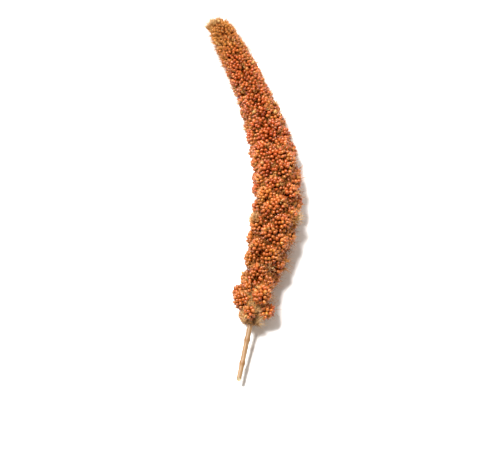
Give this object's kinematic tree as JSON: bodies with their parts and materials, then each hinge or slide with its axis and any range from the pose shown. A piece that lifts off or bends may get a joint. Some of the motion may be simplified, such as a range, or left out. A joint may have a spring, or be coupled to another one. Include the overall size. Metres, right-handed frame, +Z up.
{
  "type": "foxtail millet head",
  "caption": "Dried bowed seed head with dense round grains in clusters, a tapering tip, loose clusters at its base and a short cut stalk, laid on its side.",
  "frame": {"origin": "middle of the outline in plan, on the surface that the head lies on", "axes": "+Y along the head towards its tip, +X towards the outer side of its bow, +Z up from the surface it lies on"},
  "size_m": [0.0416, 0.1893, 0.023],
  "materials": {
    "grain": "shiny russet seed coats with dark gaps and pale husk scales",
    "straw": "dry straw, satin"
  },
  "bodies": {
    "root": {"seed_head": "grain", "stalk": "straw"}
  },
  "joints": []
}
